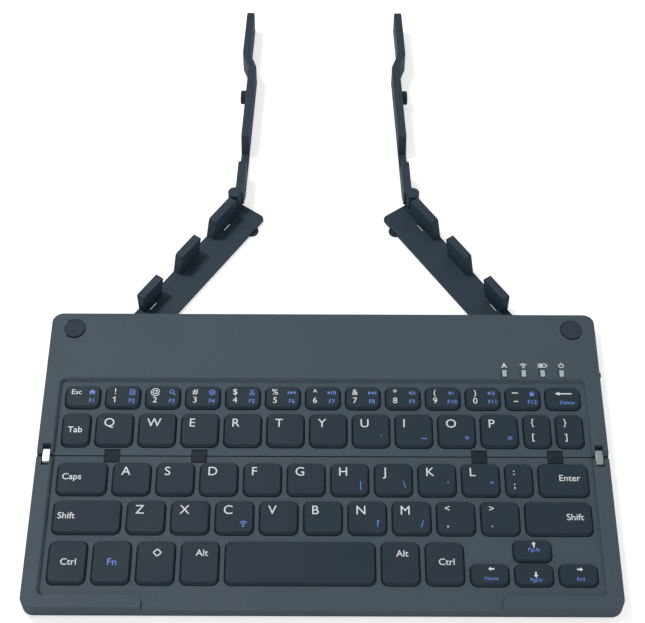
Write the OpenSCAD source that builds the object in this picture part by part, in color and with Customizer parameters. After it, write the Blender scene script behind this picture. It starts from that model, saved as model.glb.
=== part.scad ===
// Folding keyboard with a pair of swing-out stand arms for a tablet.
// Right-handed frame, +Z up, X across the keyboard, Y from the typist to the back.
// The parts are drawn with the fold's seam at Y = 0 and the table at Z = 0,
// then moved back so that the origin is the middle of the base.

/* [Case] */
// Width of both halves, left to right
case_w = 250.8; // [247:0.1:260]
// Width of the rim beside the key field
side_w = 9.9; // [9:0.1:11]
// Depth of the plain strip behind the keys
strip_d = 36.2; // [34:0.2:42]
// Distance from the bottom row to the front edge
front_d = 11; // [9.6:0.2:14]
// Height of the rim above the underside
shell_h = 8.1; // [8:0.1:10]
// Height of the rubber feet under the case
foot_h = 0.7; // [0.5:0.1:1.2]
// Radius of the four outer corners
corner_r = 5; // [3:0.5:7]
// Thickness of the moulded walls
wall = 1.6; // [1.2:0.1:1.8]
// Depth of the key fields below the rim
deck_drop = 1.6; // [1.4:0.1:1.7]
// Thickness of the deck around the keys
deck_t = 1.2; // [1:0.1:1.3]
// Thickness of the floor of the bottom covers
floor_t = 1; // [0.8:0.1:1.2]
// Depth of the raised lips at the front corners
lip_d = 6.2; // [4:0.2:7]
// Distance of each lip's inner end from the middle
lip_in = 75.2; // [65:0.2:85]
// Radius of the round corner at each lip's inner end
lip_r = 3.6; // [2:0.2:4]

/* [Fold] */
// Distance from the seam to each row of hinge pins
pin_off = 2.5; // [2.5:0.1:2.7]
// Radius of the hinge pins
pin_r = 0.45; // [0.35:0.05:0.45]
// Running clearance around every pin
pin_clear = 0.05; // [0.03:0.01:0.06]
// Gap between the two rims when the keyboard is closed
closed_gap = 0.2; // [0.1:0.05:0.3]
// Half of the gap between the two halves at the seam
seam_gap = 0.25; // [0.2:0.01:0.3]
// Width of each steel end link
end_link_w = 3.4; // [3:0.1:4.2]
// Radius of the round ends of the steel links
end_link_r = 1.6; // [1.1:0.1:1.6]
// Distance of the steel links' middle from the outer face
end_link_in = 4.1; // [3.9:0.05:4.3]
// Width of each black link block
block_w = 6.8; // [5:0.1:9]
// Radius of the round ends of the link blocks
block_r = 0.75; // [0.7:0.01:0.78]

/* [Keys] */
// Side gap between two keys
key_gap = 2.3; // [2:0.05:2.5]
// Clearance between a key and its well
well_gap = 0.25; // [0.15:0.01:0.3]
// Travel of every key
travel = 1.2; // [0.8:0.1:1.3]
// Distance of the key tops below the rim
key_below_rim = 0.2; // [0.05:0.05:0.3]
// Corner radius of the keys
key_r = 3; // [2:0.1:3.2]
// Thickness of a key's skirt
skirt_t = 1.1; // [0.8:0.1:1.2]
// Width of a letter key, as a share of the field that each row fills
letter_share = 0.0721; // [0.0705:0.0001:0.073]
// Width of the tab key, as a share of the field
tab_share = 0.0543; // [0.05:0.0001:0.06]
// Width of the caps lock key, as a share of the field
caps_share = 0.0948; // [0.087:0.0001:0.1]
// Width of the narrow key beside enter, as a share of the field
narrow_share = 0.0524; // [0.048:0.0001:0.056]
// Width of the left shift key, as a share of the field
shift_share = 0.1268; // [0.117:0.0001:0.135]
// Width of the bottom row's small keys, as a share of the field
mod_share = 0.0706; // [0.069:0.0001:0.072]
// Depth of the number keys
number_d = 11.6; // [11:0.1:12.4]
// Depth of the keys of the upper letter row
upper_row_d = 16.9; // [16:0.1:17.8]
// Depth of the keys of the home row
home_row_d = 16.1; // [15:0.1:16.6]
// Depth of the keys of the lower letter row
lower_row_d = 16.1; // [15:0.1:17]
// Depth of the bottom row's keys
bottom_row_d = 20; // [19:0.1:20.8]
// Gap between the rows of the back half
upper_row_gap = 2.7; // [1.8:0.1:2.8]
// Gap between the two letter rows of the front half
lower_row_gap = 2.5; // [1.8:0.1:2.8]
// Gap between the lower letter row and the bottom row
bottom_row_gap = 3.3; // [1.8:0.1:3.4]
// Distance from the seam to the upper letter row
upper_row_off = 4.4; // [4.3:0.05:4.6]
// Distance from the seam to the home row
home_row_off = 3.8; // [3.7:0.05:4.2]
// Gap between the up and down arrow keys
arrow_gap = 0.9; // [0.9:0.1:2]
// How much nearer the front the lower arrow keys reach than their row
arrow_drop = 0.2; // [0:0.1:0.8]
// How much further back the up arrow key reaches than its row
arrow_rise = 1.1; // [0:0.1:1.3]

/* [Stand] */
// Distance of the arms' pivots from the middle
pivot_x = 85.5; // [85.5:0.1:92]
// Distance of the arms' pivots from the rear edge
pivot_in = 2; // [1.9:0.1:2.1]
// Angle of each arm from the rear edge when open
arm_angle = 55; // [45:1:65]
// Length of each arm from its pivot to its far end
arm_len = 85; // [80:0.1:86]
// Distance of each leg's pivot from the arm's far end
leg_pivot_in = 2.8; // [2.8:0.1:6]
// Thickness of the arm's plate
plate_t = 1.4; // [1.2:0.1:1.6]
// Width of the plate inside the toothed wall
plate_w = 12.5; // [11:0.1:12.6]
// Thickness of the toothed wall
rail_t = 4; // [3:0.1:4.2]
// Height of the teeth above the table
stand_h = 13.2; // [12:0.1:15]
// Gap between the stowed wall and the case
stow_gap = 0.44; // [0.3:0.01:0.8]
// Places of the front and back ends of the two tablet slots along the arm
slot_ends = [22, 33.4, 50.9, 59.3];
// How far the slot faces lean back over their height
slot_lean = 2.8; // [2:0.1:3.4]
// Length of each leg from its pivot
leg_len = 121.9; // [115:0.1:122]
// Thickness of each leg
leg_t = 4; // [3:0.1:4.2]
// Angle between an open leg and its arm
leg_open = 32.2; // [25:0.1:40]
// Sideways step near each leg's far end
leg_step = 3.7; // [3:0.1:4.2]
// Height of each arm's own knuckle under the leg's barrel
knuckle_h = 2.6; // [2:0.1:4]
// Radius of the leg knuckles
knuckle_r = 3; // [2.6:0.05:3.1]
// Radius of the stop button on each leg
button_r = 3.5; // [3:0.1:4.5]
// How far the stop button stands out
button_h = 2.8; // [2:0.1:2.8]

/* [Parts inside] */
// Thickness of the steel key plates
key_plate_t = 0.4; // [0.3:0.05:0.5]
// Thickness of the contact membranes
membrane_t = 0.4; // [0.3:0.05:0.4]
// Radius of the rubber domes
dome_r = 2; // [1.6:0.1:2.1]
// Battery length
battery_w = 80; // [50:1:84]
// Gap between the battery and the wall of the stand's bay
battery_gap = 2.2; // [1:0.1:5]
// Battery thickness
battery_t = 3.8; // [3:0.1:4.2]
// Circuit board thickness
board_t = 0.8; // [0.6:0.1:1]
// Radius of the round magnet pads
pad_r = 4.6; // [4:0.05:5]
// Travel of the power switch
switch_travel = 2; // [1.5:0.1:2.5]

/* [Hidden] */

$fn = 48;
eps = 0.01;

// Heights of the case's layers
base_z = foot_h;
rim_z = base_z + shell_h;
deck_z = rim_z - deck_drop;
pin_z = rim_z - pin_off + closed_gap / 2;
split_z = base_z + 3.7;
plate_top_z = split_z - membrane_t;
membrane_top_z = split_z;
key_top_z = rim_z - key_below_rim;
skirt_z = membrane_top_z + travel + 0.2;
dome_top_z = membrane_top_z + travel + 0.15;
half_w = case_w / 2;
field_w = case_w - 2 * side_w;
field_x = field_w / 2;
recess_x = field_x + 2.6;
bore_r = pin_r + pin_clear;

// Key rows as [front edge, depth]
upper_row_y = upper_row_off;
number_y = upper_row_y + upper_row_d + upper_row_gap;
recess_back_y = number_y + number_d + 3.2;
upper_d = recess_back_y + strip_d;
home_row_y = -home_row_off - home_row_d;
lower_row_y = home_row_y - lower_row_gap - lower_row_d;
bottom_row_y = lower_row_y - bottom_row_gap - bottom_row_d;
lower_d = front_d - bottom_row_y;
arrow_d = (bottom_row_d + arrow_drop + arrow_rise - arrow_gap) / 2;
recess_front_y = -lower_d + lip_d;

// Widths of every key, row by row
letter_w = letter_share * field_w;
tab_w = tab_share * field_w;
caps_w = caps_share * field_w;
narrow_w = narrow_share * field_w;
shift_w = shift_share * field_w;
mod_w = mod_share * field_w;
number_w = (field_w - 12 * key_gap) / 13;
bracket_w = (field_w - tab_w - 10 * letter_w - 12 * key_gap) / 2;
enter_w = field_w - caps_w - 9 * letter_w - narrow_w - 11 * key_gap;
shift_right_w = field_w - shift_w - 9 * letter_w - 10 * key_gap;
space_w = field_w - 9 * mod_w - 9 * key_gap;
number_ws = [for (i = [0:12]) number_w];
upper_row_ws = [tab_w, for (i = [0:9]) letter_w, bracket_w, bracket_w];
home_row_ws = [caps_w, for (i = [0:8]) letter_w, narrow_w, enter_w];
lower_row_ws = [shift_w, for (i = [0:8]) letter_w, shift_right_w];
bottom_row_ws = [for (i = [0:3]) mod_w, space_w, for (i = [0:4]) mod_w];

function row_left(ws, i) = i == 0 ? -field_x : row_left(ws, i - 1) + ws[i - 1] + key_gap;
// A key is [left edge, front edge, width, depth]
function row_keys(ws, y, d) = [for (i = [0:len(ws) - 1]) [row_left(ws, i), y, ws[i], d]];
number_row = row_keys(number_ws, number_y, number_d);
upper_row = row_keys(upper_row_ws, upper_row_y, upper_row_d);
home_row = row_keys(home_row_ws, home_row_y, home_row_d);
lower_row = row_keys(lower_row_ws, lower_row_y, lower_row_d);
bottom_row = row_keys(bottom_row_ws, bottom_row_y, bottom_row_d);
arrow_left = key_part(bottom_row[7], 0);
arrow_up = key_part(bottom_row[8], 1);
arrow_down = key_part(bottom_row[8], 0);
arrow_right = key_part(bottom_row[9], 0);
// The front (0) or back (1) half of a bottom row place
function key_part(k, i) = [k[0], k[1] - arrow_drop + i * (arrow_d + arrow_gap), k[2], arrow_d];
function picked(row, from, to) = [for (i = [from:to]) row[i]];
upper_keys = concat(number_row, upper_row);
arrow_keys = [arrow_left, arrow_up, arrow_down, arrow_right];
lower_keys = concat(home_row, lower_row, picked(bottom_row, 0, 6), arrow_keys);

// Places of the hinge links across the case
end_links_x = [-half_w + end_link_in, half_w - end_link_in];
blocks_x = recess_x * [-0.7832, -0.4589, 0.5817, 0.8637];
link_pocket_gap = 0.1;
hinge_ear = 2.4;
end_slot_y = pin_off + end_link_r + 1.3;

// Stand: u runs along an arm from its pivot, v towards its outer side
pivot_y = upper_d - pivot_in;
leg_pivot_u = arm_len - leg_pivot_in;
rail_in_v = pivot_in + stow_gap;
rail_out_v = rail_in_v + rail_t;
arm_z = base_z + 0.1;
plate_z = arm_z + plate_t;
slot_floor_z = plate_z + 0.1;
rail_start_u = 7;
leg_clear = 0.4;
leg_fold_v = rail_out_v + leg_clear;
leg_offset = 2.5;
leg_pivot_v = leg_fold_v + leg_t / 2 - leg_offset;
leg_z = 0.4;
knuckle_gap = 0.3;
knuckle_z = arm_z + knuckle_h;
leg_root_u = knuckle_r + 0.5;
leg_root_z = plate_z + knuckle_gap;
leg_slot = [19.8, 33.2];
leg_slot_floor_z = slot_floor_z + 0.2;
step_start_u = 83.5;
step_end_u = 92.5;
button_u = leg_pivot_u - 14.7;
button_clear = 0.3;
arm_foot_r = 3.3;
arm_foot_uv = [arm_len - 9.5, rail_in_v - plate_w + 1.3];
bay_x = pivot_x + 10.5;
bay_y = pivot_y + rail_in_v - plate_w - 0.6;
bay_z = plate_z + 0.4;
arm_pin_r = 1.25;
leg_pin_r = 1.25;
leg_pin_top = 0.6;
button_z = (stand_h + leg_z) / 2;

// The base's middle: the leg's far corner is the rearmost point
leg_pivot_abs = [
    leg_pivot_u * cos(arm_angle) - leg_pivot_v * sin(arm_angle),
    leg_pivot_u * sin(arm_angle) + leg_pivot_v * cos(arm_angle)
];
leg_abs_angle = arm_angle + leg_open;
leg_side_n = leg_step - leg_offset - leg_t / 2;
leg_tip_y = pivot_y + leg_pivot_abs[1] + leg_len * sin(leg_abs_angle)
    + max(leg_side_n * cos(leg_abs_angle), (leg_side_n + leg_t) * cos(leg_abs_angle));
mid_y = (leg_tip_y - lower_d) / 2;

// Places of the feet and screws
foot_r = 4;
foot_x = half_w - 14.5;
foot_seam_y = 8;
foot_edge_in = 8;
screw_x = half_w - 4.2;
upper_screws_y = [13, upper_d - 11];
lower_screws_y = [-13, -lower_d + 13];
screw_r = 0.7;
screw_head_r = 1.3;
screw_boss_r = 1.8;

// Board, switch and socket along the right-hand wall
battery_x = -75;
board_x = [battery_x + battery_w + 5, half_w - wall - 1.2];
board_y = [recess_back_y + 1.4, bay_y - wall - 0.3];
board_z = base_z + floor_t + 1.7;
board_top_z = board_z + board_t;
battery_y = recess_back_y + 2.2;
battery_d = bay_y - wall - battery_gap - battery_y;
battery_z = base_z + floor_t + 0.1;
plain_roof_z = rim_z - deck_t;
windows_x = [for (d = [43.1, 34.4, 25.8, 17.2]) half_w - d];
window_size = [2, 3.4];
lamp_h = 0.6;
window_y = recess_back_y + 4;
switch_y = recess_back_y + 4.8;
switch_z = board_top_z + 1.6;
nub_size = [2.4, 1.2];
nub_out = 0.9;
switch_end = 3.4;
socket_y = (switch_y + switch_travel + switch_end + upper_screws_y[1] - screw_boss_r) / 2;
socket_size = [7.6, 2.7];
socket_depth = 5;
pad_in = [10.7, 8.55];
pad_t = 0.9;

case_colour = "#4a525b";
key_colour = "#2f3b46";
steel_colour = "#b8c2c8";
inner_colour = "#2c6b4a";
sheet_colour = "#9aa0a4";
rubber_colour = "#22262a";

// Everything is drawn from the seam and then moved to the base's middle
module in_frame() {
    translate([0, -mid_y, 0]) children();
}

// A box given by its low and high corners
module box(low, high) {
    translate(low) cube(high - low);
}

// A flat rectangle with round corners, from its low corner
module round_rect(size, r) {
    translate([r, 0]) square([size[0] - 2 * r, size[1]]);
    translate([0, r]) square([size[0], size[1] - 2 * r]);
    for (x = [r, size[0] - r], y = [r, size[1] - r]) translate([x, y]) circle(r);
}

// A round-cornered plate between two heights
module plate(x0, y0, x1, y1, z0, z1, r) {
    translate([x0, y0, z0]) linear_extrude(z1 - z0) round_rect([x1 - x0, y1 - y0], r);
}

// A rod along X between two places
module rod_x(x0, x1, y, z, r) {
    translate([x0, y, z]) rotate([0, 90, 0]) cylinder(r = r, h = x1 - x0);
}

// The outline of a half: square at the seam, round at its far corners
module half_outline(d, inset) {
    w = half_w - inset;
    r = corner_r - inset;
    translate([-w, seam_gap]) square([2 * w, d - seam_gap - inset - r]);
    translate([-w + r, seam_gap]) square([2 * (w - r), d - seam_gap - inset]);
    for (x = [-w + r, w - r]) translate([x, d - inset - r]) circle(r);
}

module half_prism(d, inset, z0, z1) {
    translate([0, 0, z0]) linear_extrude(z1 - z0) half_outline(d, inset);
}

// What the rims lose beside the seam, so that they roll past each other
module rim_end_cut() {
    for (side = [-1, 1]) {
        x0 = side < 0 ? -half_w - 1 : recess_x - 1;
        difference() {
            box([x0, 0, pin_z], [x0 + half_w - recess_x + 2, pin_off, rim_z + 1]);
            rod_x(x0 - 1, x0 + half_w - recess_x + 3, pin_off, pin_z, pin_off - seam_gap);
        }
    }
}

// Pockets and bores for the links and pins of one half
module hinge_cuts() {
    for (x = end_links_x) {
        w = end_link_w / 2 + link_pocket_gap;
        box([x - w, -eps, pin_z - end_link_r - 0.2], [x + w, end_slot_y, rim_z + 1]);
        pin_hole(x, end_link_w);
    }
    for (x = blocks_x) {
        w = block_w / 2 + link_pocket_gap;
        top = deck_z + 1;
        box([x - w, -eps, pin_z - block_r - 0.1], [x + w, pin_off + block_r + 0.1, top]);
        pin_hole(x, block_w);
    }
}

module pin_hole(x, w) {
    end = pin_half(x, w) + 0.1;
    rod_x(x - end, x + end, pin_off, pin_z, bore_r);
}

// Half of a hinge pin's length: the end links' pins stop inside the outer wall
function pin_half(x, w) = w / 2 + (abs(x) > recess_x ? 1 : hinge_ear);

module hinge_pins() {
    for (x = end_links_x) pin_rod(x, end_link_w);
    for (x = blocks_x) pin_rod(x, block_w);
}

module pin_rod(x, w) {
    rod_x(x - pin_half(x, w), x + pin_half(x, w), pin_off, pin_z, pin_r);
}

// The lower half is drawn back to front
module mirrored_half() {
    mirror([0, 1, 0]) children();
}

module key_wells(keys) {
    for (k = keys) {
        g = well_gap;
        plate(k[0] - g, k[1] - g, k[0] + k[2] + g, k[1] + k[3] + g,
            membrane_top_z, rim_z, key_r + g);
    }
}

module screw_bosses(ys, top) {
    for (x = [-screw_x, screw_x], y = ys) {
        translate([x, y, base_z + floor_t + 0.1])
            cylinder(r = screw_boss_r, h = top - base_z - floor_t - 0.1);
    }
}

module screw_holes(ys) {
    for (x = [-screw_x, screw_x], y = ys) {
        translate([x, y, base_z]) cylinder(r = screw_r + pin_clear, h = split_z - base_z + 1.4);
    }
}

module screws(ys) {
    head_z = base_z + 0.15;
    for (x = [-screw_x, screw_x], y = ys) {
        translate([x, y, head_z]) cylinder(r = screw_head_r, h = 0.5);
        translate([x, y, head_z]) cylinder(r = screw_r, h = split_z + 1 - head_z);
    }
}

module screw_seats(ys) {
    for (x = [-screw_x, screw_x], y = ys) {
        translate([x, y, base_z - eps]) cylinder(r = screw_head_r + 0.1, h = 0.65 + eps + 0.05);
        translate([x, y, base_z]) cylinder(r = screw_r + pin_clear, h = 3);
    }
}

module feet(ys) {
    for (x = [-foot_x, foot_x], y = ys) {
        translate([x, y, 0]) cylinder(r = foot_r, h = foot_h);
    }
}

// Key cap: a skirt, two steps towards the top and a plunger over the dome
module key_cap(k) {
    x1 = k[0] + k[2];
    y1 = k[1] + k[3];
    step_z = key_top_z - 0.8;
    roof_z = key_top_z - 1.1;
    t = skirt_t;
    difference() {
        union() {
            plate(k[0], k[1], x1, y1, skirt_z, step_z, key_r);
            plate(k[0] + 0.2, k[1] + 0.2, x1 - 0.2, y1 - 0.2, skirt_z, key_top_z - 0.35, key_r - 0.2);
            plate(k[0] + 0.5, k[1] + 0.5, x1 - 0.5, y1 - 0.5, skirt_z, key_top_z, key_r - 0.5);
        }
        plate(k[0] + t, k[1] + t, x1 - t, y1 - t, skirt_z - 1, roof_z, key_r - t + 0.3);
    }
    translate([k[0] + k[2] / 2, k[1] + k[3] / 2, skirt_z + 0.05])
        cylinder(r = dome_r / 2, h = roof_z - skirt_z, $fn = 24);
}

module key_caps(keys) {
    color(key_colour) in_frame() for (k = keys) key_cap(k);
}

// Rubber domes with a well that the plunger presses into
module domes(keys) {
    for (k = keys) {
        translate([k[0] + k[2] / 2, k[1] + k[3] / 2, membrane_top_z]) difference() {
            cylinder(r = dome_r, h = dome_top_z - membrane_top_z, $fn = 24);
            translate([0, 0, 0.12]) cylinder(r = dome_r / 2 + 0.25, h = 3, $fn = 24);
        }
    }
}

// The flat frames of the scissors that keep each key level
module scissors(keys) {
    inset = skirt_t + 0.5;
    bar = 0.7;
    scissor_r = 1.4;
    for (k = keys) {
        difference() {
            plate(k[0] + inset, k[1] + inset, k[0] + k[2] - inset, k[1] + k[3] - inset,
                membrane_top_z, membrane_top_z + 0.7, scissor_r);
            box([k[0] + inset + bar, k[1] + inset + bar, membrane_top_z - 1],
                [k[0] + k[2] - inset - bar, k[1] + k[3] - inset - bar, membrane_top_z + 2]);
        }
    }
}

module upper_top_frame() {
    back_in = upper_d - wall;
    color(case_colour) in_frame() difference() {
        union() {
            difference() {
                half_prism(upper_d, 0, split_z, rim_z);
                // key field
                plate(-recess_x, -6, recess_x, recess_back_y, deck_z, rim_z + 1, 2.5);
                // space under the deck
                box([-recess_x, pin_off + block_r + 0.35, split_z - 1],
                    [recess_x, recess_back_y + 1, deck_z - deck_t]);
                // space under the plain strip
                intersection() {
                    half_prism(upper_d, wall, split_z - 1, plain_roof_z);
                    box([-half_w, recess_back_y + 1, 0], [half_w, upper_d, rim_z]);
                }
            }
            screw_bosses(upper_screws_y, plain_roof_z + eps);
        }
        screw_holes(upper_screws_y);
        key_wells(upper_keys);
        rim_end_cut();
        hinge_cuts();
        pads(0.1);
        windows(0.1, plain_roof_z - 1);
        switch_slot();
        socket_hole();
        // clearance over the arms' pivot bosses
        for (side = [-1, 1]) pivot_boss(side, 0.2);
    }
}

module upper_bottom_cover() {
    color(case_colour) in_frame() difference() {
        union() {
            difference() {
                half_prism(upper_d, 0, base_z, split_z);
                half_prism(upper_d, wall, base_z + floor_t, split_z + 1);
            }
            // seam wall, ribs under the key plate, roof of the stand's bay
            box([-half_w + wall, seam_gap, base_z], [half_w - wall, pin_off + 1, split_z]);
            for (i = [1:3]) {
                y = i * recess_back_y / 4;
                box([-recess_x + 3, y, base_z], [recess_x - 3, y + 1.2, plate_bottom_z()]);
            }
            box([-bay_x - wall, bay_y - wall, base_z], [bay_x + wall, upper_d - eps, bay_z + floor_t]);
            for (side = [-1, 1]) pivot_boss(side, 0);
            board_posts();
        }
        box([-bay_x, bay_y, -1], [bay_x, upper_d + 1, bay_z]);
        for (side = [-1, 1]) {
            translate([side * pivot_x, pivot_y, 0]) cylinder(r = arm_pin_r + pin_clear, h = split_z);
            // shallow relief for the arm's foot when the stand is put away
            translate([side * (pivot_x - arm_foot_uv[0]), pivot_y + arm_foot_uv[1], -1])
                cylinder(r = arm_foot_r + 0.3, h = 1 + arm_z + 0.3);
        }
        screw_seats(upper_screws_y);
        for (x = [-screw_x, screw_x], y = upper_screws_y) {
            translate([x, y, base_z + floor_t]) cylinder(r = screw_boss_r + 0.15, h = 5);
        }
        socket_hole();
    }
}

function plate_bottom_z() = plate_top_z - key_plate_t;

// Block that holds an arm's pivot pin
module pivot_boss(side, grow) {
    x = side * pivot_x;
    box([x - 3 - grow, pivot_y - 3.5 - grow, bay_z],
        [x + 3 + grow, upper_d - wall - (grow > 0 ? eps : 0), bay_z + 3 + grow]);
}

module board_posts() {
    mid_x = (board_x[0] + board_x[1]) / 2;
    for (x = [board_x[0] + 6, mid_x, board_x[1] - 17], y = [board_y[0] + 2, board_y[1] - 4]) {
        translate([x, y, base_z]) cylinder(r = 1.6, h = board_z - base_z, $fn = 24);
    }
}

module upper_key_plate() {
    color(sheet_colour) in_frame() box(
        [-recess_x + 0.6, pin_off + 1.2, plate_bottom_z()],
        [recess_x - 0.6, recess_back_y - 0.4, plate_top_z]);
}

module upper_membrane() {
    color("#c9b26a") in_frame() box(
        [-recess_x + 0.6, pin_off + 1.4, plate_top_z],
        [recess_x - 0.6, recess_back_y - 0.6, membrane_top_z]);
}

module upper_domes() {
    color("#d8d8d4") in_frame() domes(upper_keys);
}

module upper_scissors() {
    color("#e6e6e2") in_frame() scissors(upper_keys);
}

module circuit_board() {
    color(inner_colour) in_frame() box(
        [board_x[0], board_y[0], board_z], [board_x[1], board_y[1], board_top_z]);
}

module battery() {
    color("#c8ccd0") in_frame() plate(battery_x, battery_y, battery_x + battery_w,
        battery_y + battery_d, battery_z, battery_z + battery_t, 1);
}

module windows(grow, z0) {
    for (x = windows_x) {
        box([x - window_size[0] / 2 - grow, window_y - window_size[1] / 2 - grow, z0],
            [x + window_size[0] / 2 + grow, window_y + window_size[1] / 2 + grow,
                rim_z - 0.05 + (grow > 0 ? 1 : 0)]);
    }
}

module light_windows() {
    color("#dfe6ea") in_frame() windows(0, board_top_z + lamp_h + 0.1);
}

// Small lamps on the board, one under each window
module indicator_lamps() {
    color("#f2f2e8") in_frame() for (x = windows_x) {
        box([x - 0.8, window_y - 0.4, board_top_z], [x + 0.8, window_y + 0.4, board_top_z + lamp_h]);
    }
}

module pads(grow) {
    for (side = [-1, 1]) {
        translate([side * (half_w - pad_in[0]), upper_d - pad_in[1], rim_z - pad_t - grow])
            cylinder(r = pad_r + grow, h = pad_t + (grow > 0 ? 1 : 0));
    }
}

module corner_pads() {
    color(rubber_colour) in_frame() pads(0);
}

// Space for the slider's neck through the right-hand wall
module switch_slot() {
    y0 = switch_y - nub_size[0] / 2 - 0.2;
    y1 = switch_y + nub_size[0] / 2 + switch_travel + 0.2;
    box([half_w - wall - 1, y0, switch_z - nub_size[1] / 2 - 0.15],
        [half_w + 1, y1, switch_z + nub_size[1] / 2 + 0.15]);
}

module switch_body() {
    x1 = half_w - wall - 0.2;
    y0 = switch_y - switch_end;
    y1 = switch_y + switch_travel + switch_end;
    color("#30343a") in_frame() difference() {
        box([x1 - 4, y0, board_top_z], [x1, y1, switch_z + 1.3]);
        box([x1 - 3.2, y0 + 1, switch_z - 0.9], [x1 + 1, y1 - 1, switch_z + 0.9]);
    }
}

module switch_slider() {
    x1 = half_w - wall - 0.3;
    color("#1c2024") in_frame() {
        box([x1 - 2.7, switch_y - 2.1, switch_z - 0.75], [x1, switch_y + 2.1, switch_z + 0.75]);
        box([x1 - 1, switch_y - nub_size[0] / 2, switch_z - nub_size[1] / 2],
            [half_w + nub_out, switch_y + nub_size[0] / 2, switch_z + nub_size[1] / 2]);
    }
}

module socket_hole() {
    grow = 0.2;
    box([half_w - wall - 1, socket_y - socket_size[0] / 2 - grow, board_top_z - grow],
        [half_w + 1, socket_y + socket_size[0] / 2 + grow, board_top_z + socket_size[1] + grow]);
}

// A small charging socket: a steel shell open to the side, with a tongue
module charge_socket() {
    x1 = half_w - 0.15;
    x0 = x1 - socket_depth;
    t = 0.4;
    color(steel_colour) in_frame() {
        difference() {
            box([x0, socket_y - socket_size[0] / 2, board_top_z],
                [x1, socket_y + socket_size[0] / 2, board_top_z + socket_size[1]]);
            box([x0 + 0.8, socket_y - socket_size[0] / 2 + t, board_top_z + t],
                [x1 + 1, socket_y + socket_size[0] / 2 - t, board_top_z + socket_size[1] - t]);
        }
        box([x0 + 0.5, socket_y - 1.9, board_top_z + 1.1],
            [x1 - 0.6, socket_y + 1.9, board_top_z + 1.6]);
    }
}

module upper_screws() {
    color(steel_colour) in_frame() screws(upper_screws_y);
}

module upper_feet() {
    color(rubber_colour) in_frame() feet([foot_seam_y, upper_d - foot_edge_in]);
}

module upper_hinge_pins() {
    color(steel_colour) in_frame() hinge_pins();
}

// Links that join the two rows of pins
module link(x, w, r) {
    difference() {
        union() {
            box([x - w / 2, -pin_off, pin_z - r], [x + w / 2, pin_off, pin_z + r]);
            for (y = [-pin_off, pin_off]) rod_x(x - w / 2, x + w / 2, y, pin_z, r);
        }
        for (y = [-pin_off, pin_off]) rod_x(x - w, x + w, y, pin_z, bore_r);
    }
}

module hinge_end_links() {
    color(steel_colour) in_frame() for (x = end_links_x) link(x, end_link_w, end_link_r);
}

module hinge_link_blocks() {
    color(rubber_colour) in_frame() for (x = blocks_x) link(x, block_w, block_r);
}

// What the round corner takes off a lip's inner end
module lip_corner_cut(side) {
    x = side < 0 ? -lip_in - lip_r : lip_in - eps;
    difference() {
        box([x, recess_front_y - lip_r, deck_z], [x + lip_r + eps, recess_front_y + eps, rim_z + 1]);
        translate([side * (lip_in + lip_r), recess_front_y - lip_r, deck_z - 1])
            cylinder(r = lip_r, h = deck_drop + 3);
    }
}

module lower_top_frame() {
    color(case_colour) in_frame() difference() {
        union() {
            difference() {
                mirrored_half() half_prism(lower_d, 0, split_z, rim_z);
                // key field
                plate(-recess_x, recess_front_y, recess_x, 6, deck_z, rim_z + 1, 2.5);
                // the field runs out to the front edge between the lips
                box([-lip_in, -lower_d - 1, deck_z], [lip_in, recess_front_y + 1, rim_z + 1]);
                for (side = [-1, 1]) lip_corner_cut(side);
                // space under the deck
                box([-recess_x, -lower_d + wall, split_z - 1],
                    [recess_x, -pin_off - block_r - 0.35, deck_z - deck_t]);
            }
            screw_bosses(lower_screws_y, deck_z - deck_t + eps);
        }
        screw_holes(lower_screws_y);
        key_wells(lower_keys);
        mirrored_half() rim_end_cut();
        mirrored_half() hinge_cuts();
    }
}

module lower_bottom_cover() {
    color(case_colour) in_frame() difference() {
        union() {
            difference() {
                mirrored_half() half_prism(lower_d, 0, base_z, split_z);
                mirrored_half() half_prism(lower_d, wall, base_z + floor_t, split_z + 1);
            }
            box([-half_w + wall, -pin_off - 0.8, base_z], [half_w - wall, -seam_gap, split_z]);
            for (i = [1:5]) {
                y = -i * lower_d / 6;
                box([-recess_x + 3, y - 1.2, base_z], [recess_x - 3, y, plate_bottom_z()]);
            }
        }
        screw_seats(lower_screws_y);
        for (x = [-screw_x, screw_x], y = lower_screws_y) {
            translate([x, y, base_z + floor_t]) cylinder(r = screw_boss_r + 0.15, h = 5);
        }
    }
}

module lower_key_plate() {
    color(sheet_colour) in_frame() box(
        [-recess_x + 0.6, bottom_row_y - 1.5, plate_bottom_z()],
        [recess_x - 0.6, -pin_off - 1, plate_top_z]);
}

module lower_membrane() {
    color("#c9b26a") in_frame() box(
        [-recess_x + 0.6, bottom_row_y - 1.3, plate_top_z],
        [recess_x - 0.6, -pin_off - 1.1, membrane_top_z]);
}

module lower_domes() {
    color("#d8d8d4") in_frame() domes(lower_keys);
}

module lower_scissors() {
    color("#e6e6e2") in_frame() scissors(lower_keys);
}

module lower_screws() {
    color(steel_colour) in_frame() screws(lower_screws_y);
}

module lower_feet() {
    color(rubber_colour) in_frame() feet([-foot_seam_y, -lower_d + foot_edge_in]);
}

module lower_hinge_pins() {
    color(steel_colour) in_frame() mirrored_half() hinge_pins();
}

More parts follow.
